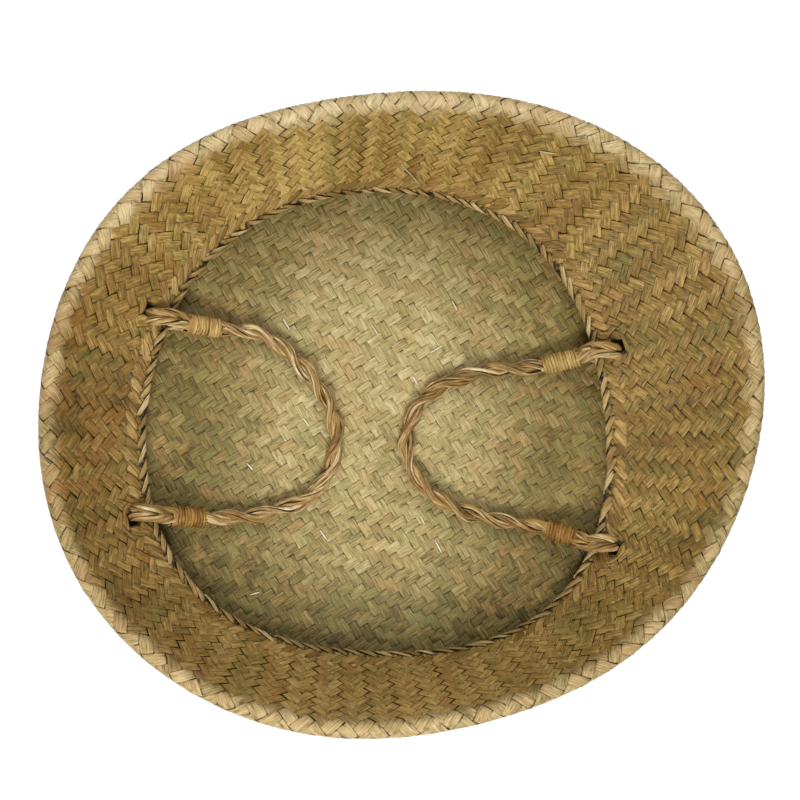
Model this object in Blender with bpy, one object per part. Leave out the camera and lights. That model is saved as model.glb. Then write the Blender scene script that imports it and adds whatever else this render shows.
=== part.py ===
"""A seagrass belly basket, its upper half folded down inside it, with two rope handles.

The basket stands at z = 0 on its flat base, and its mouth is centred on the Z axis. +X points
to the right-hand handle and +Y to the rear. The woven fabric runs in one piece from the base up
the belly, over a soft roll, and down again to the rim, which hangs just over the base. It is
made here as four shells that meet edge to edge.
"""
import math

import bmesh
import bpy
from mathutils import Matrix, Vector

MM = 0.001

# The woven fabric
FABRIC = 2.4 * MM
SEAM_GAP = 0.3 * MM

# The rim, which is the basket's mouth, and the braided border along it
RIM_RADIUS = 134 * MM
RIM_HEIGHT = 14 * MM
BORDER_WIDTH = 15 * MM
BORDER_THICKNESS = 3.6 * MM

# The base and the belly, by how far they reach past the rim
BASE_PAST_RIM = 21 * MM
BELLY_PAST_RIM = 57 * MM
BASE_RADIUS = RIM_RADIUS + BASE_PAST_RIM
BELLY_RADIUS = RIM_RADIUS + BELLY_PAST_RIM

# The plan's lobes: how many, their height as a share of the radius, and the direction of the
# first. The base is only part as oval as the belly.
RIM_LOBE_SHARES = ((3, 0.024, -38.7), (4, 0.0235, -44.4))
BELLY_LOBE_SHARES = (
    (1, 0.0375, 26.6),
    (2, 0.0775, 10.7),
    (3, 0.0195, 18.4),
    (4, 0.0093, 41.9),
    (6, 0.0033, 19.9),
)
BASE_OVAL_SHARE = 0.5

# The roll where the upper half turns down, how far its middle lies above the rim, and how the
# tucked half below it leans. The fold is lowest at the left and highest at the rear.
ROLL_RADIUS = 4.5 * MM
FOLD_RISE = 57 * MM
RISE_LOBE_SHARES = ((1, 0.174, 49), (2, 0.272, 90))
TUCK_TOP_LEAN_SHARE = 0.8
TUCK_RIM_LEAN_SHARE = 1.2

# The eyes of the rope handles, which turn in the fabric round the rim
EYE_INNER_RADIUS = 6.5 * MM
EYE_THICKNESS = 5.5 * MM
EYE_WIDTH = 10 * MM
EYE_CLEARANCE = 0.6 * MM
EYE_UP_THE_WALL = 5 * MM

# The ropes and the whippings round their ends
ROPE_DIAMETER = 9.5 * MM
WHIPPED_DIAMETER = 8.4 * MM
NECK_LENGTH = 0.8 * MM
WHIPPING_STRAND = 1.3 * MM
WHIPPING_TURN_GAP = 0.45 * MM
WHIPPING_SEAT = 0.35 * MM
LYING_CLEARANCE = 0.5 * MM

# Facets
RING_STEPS = 60
BELLY_STEPS = 9
ROLL_STEPS = 3
TUCK_STEPS = 6
BORDER_STEPS = 2
EYE_STEPS = 24
EYE_SIDES = 10
ROPE_SIDES = 8
ROPE_RINGS = 44
TURN_STEPS = 12
SPAN_STEPS = 12
FINE_STEPS = 80

# Level directions in an upright section
OUTWARD = Vector((1, 0))
INWARD = Vector((-1, 0))

# Each handle's two ends and its rope. An end has the place where it passes the rim and how far
# its whipping turns from the square, both in degrees, and the whipping's turns. The route is
# the rope's way over the base between the two whippings, in the plan, as shares of the rim's
# radius.
HANDLES = {
    "left": {
        "side": -1,
        "rear": {"round_rim": 155, "yaw": -3, "turns": 11},
        "front": {"round_rim": 201.5, "yaw": 1, "turns": 11},
        "route_shares": [
            (-0.537, 0.392),
            (-0.440, 0.343),
            (-0.351, 0.261),
            (-0.272, 0.172),
            (-0.209, 0.052),
            (-0.187, -0.082),
            (-0.228, -0.224),
            (-0.325, -0.321),
            (-0.451, -0.369),
            (-0.567, -0.396),
        ],
    },
    "right": {
        "side": 1,
        "rear": {"round_rim": 18.8, "yaw": 14, "turns": 12},
        "front": {"round_rim": -28, "yaw": -15, "turns": 10},
        "route_shares": [
            (0.582, 0.257),
            (0.478, 0.244),
            (0.358, 0.213),
            (0.239, 0.157),
            (0.153, 0.071),
            (0.113, -0.060),
            (0.142, -0.194),
            (0.239, -0.299),
            (0.388, -0.373),
            (0.537, -0.405),
        ],
    },
}

COLOURS = {
    "base_mat": (0.36, 0.30, 0.14),
    "belly_wall": (0.48, 0.38, 0.18),
    "turned_in_wall": (0.33, 0.23, 0.09),
    "rim_border": (0.40, 0.29, 0.12),
    "handle_rope": (0.46, 0.32, 0.13),
    "whipping": (0.55, 0.34, 0.12),
}


def clear_scene():
    for old in list(bpy.data.objects):
        bpy.data.objects.remove(old, do_unlink=True)


def material(name):
    """One matt dry-fibre finish for each kind of piece."""
    made = bpy.data.materials.get(name)
    if made is None:
        made = bpy.data.materials.new(name)
        made.use_nodes = True
        shader = made.node_tree.nodes["Principled BSDF"]
        shader.inputs["Base Color"].default_value = (*COLOURS[name], 1)
        shader.inputs["Roughness"].default_value = 0.75
        shader.inputs["Metallic"].default_value = 0
    return made


def add_object(name, mesh, finish):
    piece = bpy.data.objects.new(name, mesh)
    piece.data.materials.append(material(finish))
    bpy.context.scene.collection.objects.link(piece)
    return piece


def skin(name, rings, finish, joined_ends):
    """A closed mesh over rings of points. Its ends are joined to each other or capped."""
    shape = bmesh.new()
    rows = [[shape.verts.new(point) for point in ring] for ring in rings]
    pairs = list(zip(rows, rows[1:] + rows[:1])) if joined_ends else list(zip(rows, rows[1:]))
    for row, following in pairs:
        for i in range(len(row)):
            j = (i + 1) % len(row)
            shape.faces.new((row[i], row[j], following[j], following[i]))
    if not joined_ends:
        shape.faces.new(rows[0])
        shape.faces.new(rows[-1])
    bmesh.ops.recalc_face_normals(shape, faces=shape.faces)
    mesh = bpy.data.meshes.new(name)
    shape.to_mesh(mesh)
    shape.free()
    mesh.shade_smooth()
    mesh.set_sharp_from_angle(angle=math.radians(50))
    return add_object(name, mesh, finish)


def lobed(radius, lobe_shares, angle, amount=1.0):
    """A plan radius at an angle, swelled by each row of lobes."""
    swell = sum(
        share * math.cos(lobes * (angle - math.radians(first)))
        for lobes, share, first in lobe_shares
    )
    return radius * (1 + amount * swell)


def hermite(start, start_slope, end, end_slope, t):
    """A point on the cubic that leaves start and reaches end along the given slopes."""
    a = 2 * t**3 - 3 * t**2 + 1
    b = t**3 - 2 * t**2 + t
    c = 3 * t**2 - 2 * t**3
    d = t**3 - t**2
    return start * a + start_slope * b + end * c + end_slope * d


class Section:
    """The middle line of the fabric in one upright plane through the Z axis.

    Its points are (distance from the axis, height), in three runs: the belly from the base
    up to the roll, the roll, and the tucked half from the roll down to the rim's edge.
    """

    def __init__(self, angle):
        self.base = lobed(BASE_RADIUS, BELLY_LOBE_SHARES, angle, BASE_OVAL_SHARE)
        self.widest = lobed(BELLY_RADIUS, BELLY_LOBE_SHARES, angle) - FABRIC / 2
        self.rim = lobed(RIM_RADIUS, RIM_LOBE_SHARES, angle) + BORDER_THICKNESS / 2
        rise = lobed(FOLD_RISE, RISE_LOBE_SHARES, angle)
        lean = math.atan2(self.widest - 2 * ROLL_RADIUS - self.rim, rise)
        self.roll_height = RIM_HEIGHT + rise
        self.top_lean = lean * TUCK_TOP_LEAN_SHARE
        self.rim_lean = lean * TUCK_RIM_LEAN_SHARE
        self.up_the_tuck = [self.tuck(1 - i / FINE_STEPS) for i in range(FINE_STEPS + 1)]
        steps = zip(self.up_the_tuck, self.up_the_tuck[1:])
        self.tuck_length = sum((b - a).length for a, b in steps)

    def belly(self, share):
        """From the edge of the base, level, up to the widest place, upright."""
        turn = share * math.pi / 2
        rise = self.roll_height - FABRIC / 2
        reach = self.base + (self.widest - self.base) * math.sin(turn)
        return Vector((reach, FABRIC / 2 + rise * (1 - math.cos(turn))))

    def roll(self, share):
        """Round the roll, from its outer side to where the tucked half begins."""
        turn = share * (math.pi - self.top_lean)
        reach = self.widest - ROLL_RADIUS + ROLL_RADIUS * math.cos(turn)
        return Vector((reach, self.roll_height + ROLL_RADIUS * math.sin(turn)))

    def tuck(self, share):
        """From the roll down to the rim's edge."""
        start = self.roll(1)
        end = Vector((self.rim, RIM_HEIGHT))
        span = (end - start).length
        top = Vector((-math.sin(self.top_lean), -math.cos(self.top_lean))) * span
        low = Vector((-math.sin(self.rim_lean), -math.cos(self.rim_lean))) * span
        return hermite(start, top, end, low, share)

    def tuck_at(self, distance):
        """The point of the tucked half that lies a distance up the fabric from the rim."""
        walked = 0
        for last, here in zip(self.up_the_tuck, self.up_the_tuck[1:]):
            step = (here - last).length
            if walked + step >= distance:
                return last.lerp(here, (distance - walked) / step)
            walked += step
        return here


def thickened(line, thickness, first=None, last=None):
    """A closed outline that lies half a thickness to each side of an open line.

    first and last are the line's directions at its ends, where a seam is square to them.
    """
    left = []
    right = []
    for i, point in enumerate(line):
        along = (line[min(i + 1, len(line) - 1)] - line[max(i - 1, 0)]).normalized()
        if i == 0 and first:
            along = first
        if i == len(line) - 1 and last:
            along = last
        across = Vector((-along.y, along.x)) * thickness / 2
        left.append(point + across)
        right.append(point - across)
    return left + right[::-1]


def plan_angles():
    return [2 * math.pi * i / RING_STEPS for i in range(RING_STEPS)]


def turned(outline, angle):
    """Points of an upright section, placed at an angle round the Z axis."""
    return [(p.x * math.cos(angle), p.x * math.sin(angle), p.y) for p in outline]


def base_line(section):
    """The belly and the outer half of the roll, up to the seam at its crest."""
    crest = (math.pi / 2 - SEAM_GAP / 2 / ROLL_RADIUS) / (math.pi - section.top_lean)
    belly = [section.belly(i / BELLY_STEPS) for i in range(BELLY_STEPS)]
    roll = [section.roll(crest * i / ROLL_STEPS) for i in range(ROLL_STEPS + 1)]
    return belly + roll


def tuck_line(section):
    """The inner half of the roll and the tucked half, down to the border's seam."""
    crest = (math.pi / 2 + SEAM_GAP / 2 / ROLL_RADIUS) / (math.pi - section.top_lean)
    roll = [
        section.roll(crest + (1 - crest) * i / ROLL_STEPS) for i in range(ROLL_STEPS + 1)
    ]
    seam = BORDER_WIDTH + SEAM_GAP
    length = section.tuck_length - seam
    steps = range(TUCK_STEPS - 1, -1, -1)
    tuck = [section.tuck_at(seam + length * i / TUCK_STEPS) for i in steps]
    return roll + tuck


def border_line(section):
    """The band of turned-back strips along the rim, short of its rounded edge."""
    rounding = BORDER_THICKNESS / 2
    straight = BORDER_WIDTH - rounding
    steps = range(BORDER_STEPS, -1, -1)
    return [section.tuck_at(rounding + straight * i / BORDER_STEPS) for i in steps]


def make_base():
    bottom = []
    top = []
    for angle in plan_angles():
        reach = Section(angle).base - SEAM_GAP
        bottom.append((reach * math.cos(angle), reach * math.sin(angle), 0))
        top.append((reach * math.cos(angle), reach * math.sin(angle), FABRIC))
    return skin("base_mat", [bottom, top], "base_mat", joined_ends=False)


def make_belly():
    rings = []
    for angle in plan_angles():
        outline = thickened(base_line(Section(angle)), FABRIC, OUTWARD, INWARD)
        rings.append(turned(outline, angle))
    return skin("belly_wall", rings, "belly_wall", joined_ends=True)


def make_tuck():
    rings = []
    for angle in plan_angles():
        outline = thickened(tuck_line(Section(angle)), FABRIC, INWARD)
        rings.append(turned(outline, angle))
    return skin("turned_in_wall", rings, "turned_in_wall", joined_ends=True)


def make_border():
    rings = []
    for angle in plan_angles():
        section = Section(angle)
        line = border_line(section)
        outline = thickened(line, BORDER_THICKNESS)
        outline.insert(len(line), section.tuck_at(0))
        rings.append(turned(outline, angle))
    return skin("rim_border", rings, "rim_border", joined_ends=True)


def eye_centre(degrees):
    """Where an eye's middle lies in the fabric, just up the wall from the rim's edge."""
    angle = math.radians(degrees)
    point = Section(angle).tuck_at(EYE_UP_THE_WALL)
    return Vector((point.x * math.cos(angle), point.x * math.sin(angle), point.y))


def hinge_line(name):
    """The level line through the middles of a handle's two eyes, from front to rear."""
    front = eye_centre(HANDLES[name]["front"]["round_rim"])
    rear = eye_centre(HANDLES[name]["rear"]["round_rim"])
    level = (front.z + rear.z) / 2
    front.z = level
    rear.z = level
    return front, rear


def eye_rings(centre, axis, growth):
    """Rings of points round an eye: a flattened torus that turns about the hinge line."""
    upward = Vector((0, 0, 1))
    inward = axis.cross(upward)
    middle = EYE_INNER_RADIUS + EYE_THICKNESS / 2
    rings = []
    for i in range(EYE_STEPS):
        turn = 2 * math.pi * i / EYE_STEPS
        outward = inward * math.cos(turn) + upward * math.sin(turn)
        ring = []
        for j in range(EYE_SIDES):
            side = 2 * math.pi * j / EYE_SIDES
            reach = middle + (EYE_THICKNESS / 2 + growth) * math.cos(side)
            along = (EYE_WIDTH / 2 + growth) * math.sin(side)
            ring.append(centre + outward * reach + axis * along)
        rings.append(ring)
    return rings


def hidden_tool(name, rings):
    """A shape that cuts or joins others and isn't a piece itself."""
    tool = skin(name, rings, "handle_rope", joined_ends=True)
    tool.hide_render = True
    tool.display_type = "WIRE"
    return tool


def add_boolean(piece, tool, operation):
    change = piece.modifiers.new(operation.lower(), "BOOLEAN")
    change.operation = operation
    change.solver = "EXACT"
    change.object = tool


def whipping_reach():
    """From the rope's middle line to the middle of the strand wound round it."""
    return WHIPPED_DIAMETER / 2 + WHIPPING_SEAT + WHIPPING_STRAND / 2


def whipping_length(turns):
    return turns * (WHIPPING_STRAND + WHIPPING_TURN_GAP) + WHIPPING_STRAND


def rope_end(name, end):
    """An eye's middle, its whipping's direction, and how far out the whipping starts and stops.

    The whipped end slopes from the eye down to the base, where its last turn lies.
    """
    front, rear = hinge_line(name)
    centre = rear if end == "rear" else front
    place = HANDLES[name][end]
    axis = (rear - front).normalized()
    inward = axis.cross(Vector((0, 0, 1))) * -HANDLES[name]["side"]
    level = Matrix.Rotation(math.radians(place["yaw"]), 3, "Z") @ inward
    start = EYE_INNER_RADIUS + EYE_THICKNESS + NECK_LENGTH
    stop = start + whipping_length(place["turns"])
    lying = FABRIC + LYING_CLEARANCE + whipping_reach() + WHIPPING_STRAND / 2
    fall = math.asin((centre.z - lying) / stop)
    direction = level * math.cos(fall) - Vector((0, 0, math.sin(fall)))
    return centre, direction, start, stop


def smooth_through(points, count):
    """Points along one smooth curve through the given ones, evenly spaced along it."""
    fine = []
    for i in range(len(points) - 1):
        before = points[max(i - 1, 0)]
        start = points[i]
        end = points[i + 1]
        after = points[min(i + 2, len(points) - 1)]
        for k in range(SPAN_STEPS):
            t = k / SPAN_STEPS
            fine.append(hermite(start, (end - before) / 2, end, (after - start) / 2, t))
    fine.append(points[-1])
    lengths = [0]
    for a, b in zip(fine, fine[1:]):
        lengths.append(lengths[-1] + (b - a).length)
    even = []
    k = 0
    for i in range(count):
        wanted = lengths[-1] * i / (count - 1)
        while k < len(fine) - 2 and lengths[k + 1] < wanted:
            k += 1
        even.append(fine[k].lerp(fine[k + 1], (wanted - lengths[k]) / (lengths[k + 1] - lengths[k])))
    return even


def rope_route(name):
    """The rope's middle line from one eye to the other, with its half thickness at each point."""
    lying = FABRIC + SEAM_GAP + ROPE_DIAMETER / 2
    middle = EYE_INNER_RADIUS + EYE_THICKNESS / 2
    ends = {}
    for end in ("rear", "front"):
        centre, direction, start, stop = rope_end(name, end)
        places = (middle, start, (start + stop) / 2, stop + NECK_LENGTH)
        ends[end] = [centre + direction * place for place in places]
    shares = HANDLES[name]["route_shares"]
    floor = [Vector((RIM_RADIUS * x, RIM_RADIUS * y, lying)) for x, y in shares]
    loop = smooth_through([ends["rear"][-1]] + floor + [ends["front"][-1]], ROPE_RINGS)
    thick = ROPE_DIAMETER / 2
    thin = WHIPPED_DIAMETER / 2
    points = ends["rear"][:-1] + loop + ends["front"][-2::-1]
    whipped = [thin] * len(ends["rear"])
    return points, whipped + [thick] * (len(loop) - 2) + whipped


def tube_rings(points, radii, sides):
    """Rings of points square to a line, carried along it without twist."""
    rings = []
    across = None
    for i, point in enumerate(points):
        along = (points[min(i + 1, len(points) - 1)] - points[max(i - 1, 0)]).normalized()
        if across is None:
            across = along.orthogonal().normalized()
        across = (across - along * across.dot(along)).normalized()
        over = along.cross(across)
        ring = []
        for j in range(sides):
            turn = 2 * math.pi * j / sides
            ring.append(point + (across * math.cos(turn) + over * math.sin(turn)) * radii[i])
        rings.append(ring)
    return rings


def make_rope(name):
    """A rope handle in one piece with the eyes at its two ends. Returns it and the eyes' tools."""
    points, radii = rope_route(name)
    rope = skin(name + "_handle_rope", tube_rings(points, radii, ROPE_SIDES), "handle_rope", False)
    front, rear = hinge_line(name)
    axis = (rear - front).normalized()
    eyes = []
    for end, centre in (("front", front), ("rear", rear)):
        eye = hidden_tool(f"{name}_{end}_eye", eye_rings(centre, axis, 0))
        add_boolean(rope, eye, "UNION")
        eyes.append(eye)
    return [rope] + eyes


def whipping_points(name, end):
    """One strand wound round the rope's end, straight for one strand's width at both ends."""
    centre, direction, start, stop = rope_end(name, end)
    turns = HANDLES[name][end]["turns"]
    across = direction.orthogonal().normalized()
    over = direction.cross(across)
    reach = whipping_reach()
    pitch = WHIPPING_STRAND + WHIPPING_TURN_GAP
    first = start + WHIPPING_STRAND / 2
    points = []
    for i in range(turns * TURN_STEPS + 1):
        turn = 2 * math.pi * i / TURN_STEPS
        along = first + pitch * i / TURN_STEPS
        points.append(
            centre + direction * along + (across * math.cos(turn) + over * math.sin(turn)) * reach
        )
    lead = (points[0] - points[1]).normalized() * WHIPPING_STRAND
    tail = (points[-1] - points[-2]).normalized() * WHIPPING_STRAND
    return [points[0] + lead] + points + [points[-1] + tail]


def least_gap(points, diameter, near):
    """The least clear space between parts of a tube that are more than `near` points apart."""
    return min(
        (a - b).length - diameter
        for i, a in enumerate(points)
        for b in points[i + near :]
    )


def make_whipping(name, end):
    points = whipping_points(name, end)
    gap = least_gap(points, WHIPPING_STRAND, TURN_STEPS - 2)
    title = f"{name}_{end}_whipping"
    print(f"{title}: least gap between turns {gap / MM:.2f} mm")
    curve = bpy.data.curves.new(title, "CURVE")
    curve.dimensions = "3D"
    curve.bevel_depth = WHIPPING_STRAND / 2
    curve.bevel_resolution = 1
    curve.use_fill_caps = True
    strand = curve.splines.new("POLY")
    strand.points.add(len(points) - 1)
    for spot, point in zip(strand.points, points):
        spot.co = (*point, 1)
    return add_object(title, curve, "whipping")


def cut_eye_holes(walls, name):
    """Cuts the slots that a handle's eyes turn in, through the wall and the border."""
    front, rear = hinge_line(name)
    axis = (rear - front).normalized()
    for end, centre in (("front", front), ("rear", rear)):
        slot = hidden_tool(f"{name}_{end}_slot", eye_rings(centre, axis, EYE_CLEARANCE))
        for wall in walls:
            add_boolean(wall, slot, "DIFFERENCE")


def hang_on_hinge(name, pieces):
    """Parents a handle's pieces to an empty on its hinge line, which the empty's Y axis follows."""
    front, rear = hinge_line(name)
    line = rear - front
    hinge = bpy.data.objects.new(name + "_handle_hinge", None)
    hinge.location = (front + rear) / 2
    hinge.rotation_euler.z = math.atan2(-line.x, line.y)
    bpy.context.scene.collection.objects.link(hinge)
    bpy.context.view_layer.update()
    for piece in pieces:
        piece.parent = hinge
        piece.matrix_parent_inverse = hinge.matrix_world.inverted()
    print(f"{name} hinge from {tuple(front)} to {tuple(rear)}")


def main():
    clear_scene()
    make_base()
    make_belly()
    walls = [make_tuck(), make_border()]
    for name in HANDLES:
        cut_eye_holes(walls, name)
        pieces = make_rope(name)
        for end in ("rear", "front"):
            pieces.append(make_whipping(name, end))
        hang_on_hinge(name, pieces)


main()
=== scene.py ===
"""A plaited seagrass belly basket with its upper half folded down inside it.

Everything is in metres in the CAD's frame: the basket stands at z = 0, +X points to the right-hand
handle and +Y to the rear. The plait is made strip by strip, as it is plaited: two families of
strips climb the wall slantwise and pass two over and two under each other.
"""
import math

import bpy
import numpy as np
from mathutils import Matrix, Vector


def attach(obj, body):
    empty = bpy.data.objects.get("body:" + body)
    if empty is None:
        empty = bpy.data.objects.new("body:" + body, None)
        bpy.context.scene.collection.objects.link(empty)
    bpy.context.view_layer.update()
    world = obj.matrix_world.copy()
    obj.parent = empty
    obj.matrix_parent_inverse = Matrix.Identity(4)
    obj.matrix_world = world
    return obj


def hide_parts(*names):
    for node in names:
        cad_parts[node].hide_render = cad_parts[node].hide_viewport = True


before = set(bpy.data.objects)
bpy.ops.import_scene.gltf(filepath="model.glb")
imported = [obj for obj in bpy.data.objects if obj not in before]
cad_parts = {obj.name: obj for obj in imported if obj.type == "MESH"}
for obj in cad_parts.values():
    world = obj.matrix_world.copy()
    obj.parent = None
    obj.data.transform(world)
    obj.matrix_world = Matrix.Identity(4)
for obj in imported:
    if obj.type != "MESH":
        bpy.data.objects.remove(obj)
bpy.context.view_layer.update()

MM = 0.001
SEED = 5

# The fabric's sizes, as the CAD source has them
FABRIC = 2.4 * MM
BORDER_THICKNESS = 3.6 * MM
RIM_RADIUS = 134 * MM
RIM_HEIGHT = 14 * MM
BASE_RADIUS = 155 * MM
BELLY_RADIUS = 191 * MM
RIM_LOBES = ((3, 0.024, -38.7), (4, 0.0235, -44.4))
BELLY_LOBES = (
    (1, 0.0375, 26.6),
    (2, 0.0775, 10.7),
    (3, 0.0195, 18.4),
    (4, 0.0093, 41.9),
    (6, 0.0033, 19.9),
)
BASE_OVAL = 0.5
ROLL_RADIUS = 4.5 * MM
FOLD_RISE = 57 * MM
RISE_LOBES = ((1, 0.174, 49), (2, 0.272, 90))
TUCK_TOP_LEAN = 0.8
TUCK_RIM_LEAN = 1.2

# The handles' sizes, as the CAD source has them
EYE_MIDDLE = 9.25 * MM
EYE_OUTER = 12 * MM
EYE_UP_THE_WALL = 5 * MM
NECK = 0.8 * MM
WHIPPING_PITCH = 1.75 * MM
WHIPPING_STRAND = 1.3 * MM
WHIPPING_MIDDLE = 5.2 * MM
LYING_CLEARANCE = 0.5 * MM
ROPE_LYING = 7.45 * MM

# Each handle's two ends and the rope's way over the base between them, in metres
HANDLES = {
    "left": {
        "side": -1,
        "rear": {"round_rim": 155, "yaw": -3, "turns": 11, "tone": 0.5, "tint": 0.6},
        "front": {"round_rim": 201.5, "yaw": 1, "turns": 11, "tone": -0.3, "tint": 0.0},
        "route": [
            (-0.0720, 0.0525), (-0.0590, 0.0460), (-0.0470, 0.0350), (-0.0364, 0.0230),
            (-0.0280, 0.0070), (-0.0251, -0.0110), (-0.0306, -0.0300), (-0.0436, -0.0430),
            (-0.0604, -0.0494), (-0.0760, -0.0531),
        ],
    },
    "right": {
        "side": 1,
        "rear": {"round_rim": 18.8, "yaw": 14, "turns": 12, "tone": 0.35, "tint": -0.7},
        "front": {"round_rim": -28, "yaw": -15, "turns": 10, "tone": -0.45, "tint": 0.2},
        "route": [
            (0.0780, 0.0344), (0.0641, 0.0327), (0.0480, 0.0285), (0.0320, 0.0210),
            (0.0205, 0.0095), (0.0151, -0.0080), (0.0190, -0.0260), (0.0320, -0.0401),
            (0.0520, -0.0500), (0.0720, -0.0543),
        ],
    },
}

# The plait of the wall: strips in each family, and how they lie
WALL_STRIPS = 132
ROW_SPACING = 1.11
ROW_SPACING_LOBES = ((1, 0.103, 137), (2, 0.114, 105))
WALL_WAVE = 0.62 * MM
WALL_CROWN = 0.12 * MM

# How far inside its crest the fold is pale: partly paler leaf and partly painted light where the
# roll's outward faces catch the light
FOLD_BAND = 3.6 * MM
FOLD_BAND_LOBES = ((1, 0.55, 62), (2, 0.45, 85))

# The plait of the base
BASE_PITCH = 5.1 * MM
BASE_SLANT = 32.5
BASE_WAVE = 0.42 * MM
BASE_CROWN = 0.10 * MM

# In both, a strip is flat over a float and dives within this share of a crossing strip's width
STRIP_THICKNESS = 0.60 * MM
DIVE = 0.2

# The base's strips run this far into the belly wall's plait, and none comes nearer the floor
BASE_UNDER_WALL = 2.5 * MM
LEAST_HEIGHT = 0.05 * MM

# How much sooner the painted shade at a float's end begins at one corner than at the other, and
# how much narrower a strip is pinched where it dives, which leaves a small dark hole beside it
DIVE_SLANT = 0.5
WALL_PINCH = 0.12
BASE_PINCH = 0.03

# How finely the wall's shape is kept: steps round it, up it, and in its plait rows
ROUND = 720
SPAN = 241
ROW_STEPS = 481


def make_camera():
    """The photograph's view: from almost straight above, a little from the lower left."""
    place = Vector((-0.16885, -0.12309, 1.296))
    aim = Vector((-0.00423, 0.00286, 0.121))
    forward = (aim - place).normalized()
    right = forward.cross(Vector((0, 1, 0))).normalized()
    upward = right.cross(forward)
    lens = bpy.data.cameras.new("camera")
    lens.lens = 101.9
    lens.sensor_width = 36
    camera = bpy.data.objects.new("camera", lens)
    turn = Matrix((right, upward, -forward)).transposed().to_4x4()
    camera.matrix_world = Matrix.Translation(place) @ turn
    bpy.context.scene.collection.objects.link(camera)
    bpy.context.scene.camera = camera


def linear(hex_colour):
    """An sRGB hex colour as the linear colour that a shader takes."""
    parts = [int(hex_colour[i:i + 2], 16) / 255 for i in (1, 3, 5)]
    curve = [p / 12.92 if p <= 0.04045 else ((p + 0.055) / 1.055) ** 2.4 for p in parts]
    return (*curve, 1)


def add_node(tree, kind, inputs=None, **settings):
    """Adds a node with its settings. An input is a value, or another node's output to link."""
    node = tree.nodes.new(kind)
    for name, value in settings.items():
        setattr(node, name, value)
    for name, value in (inputs or {}).items():
        if isinstance(value, bpy.types.NodeSocket):
            tree.links.new(value, node.inputs[name])
        else:
            node.inputs[name].default_value = value
    return node


def new_material(name):
    """An empty material and its node tree."""
    made = bpy.data.materials.new(name)
    made.use_nodes = True
    made.node_tree.nodes.clear()
    return made, made.node_tree


# A Mix node's sockets for colours
FACTOR, FIRST, SECOND, MIXED = 0, 6, 7, 2


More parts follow.
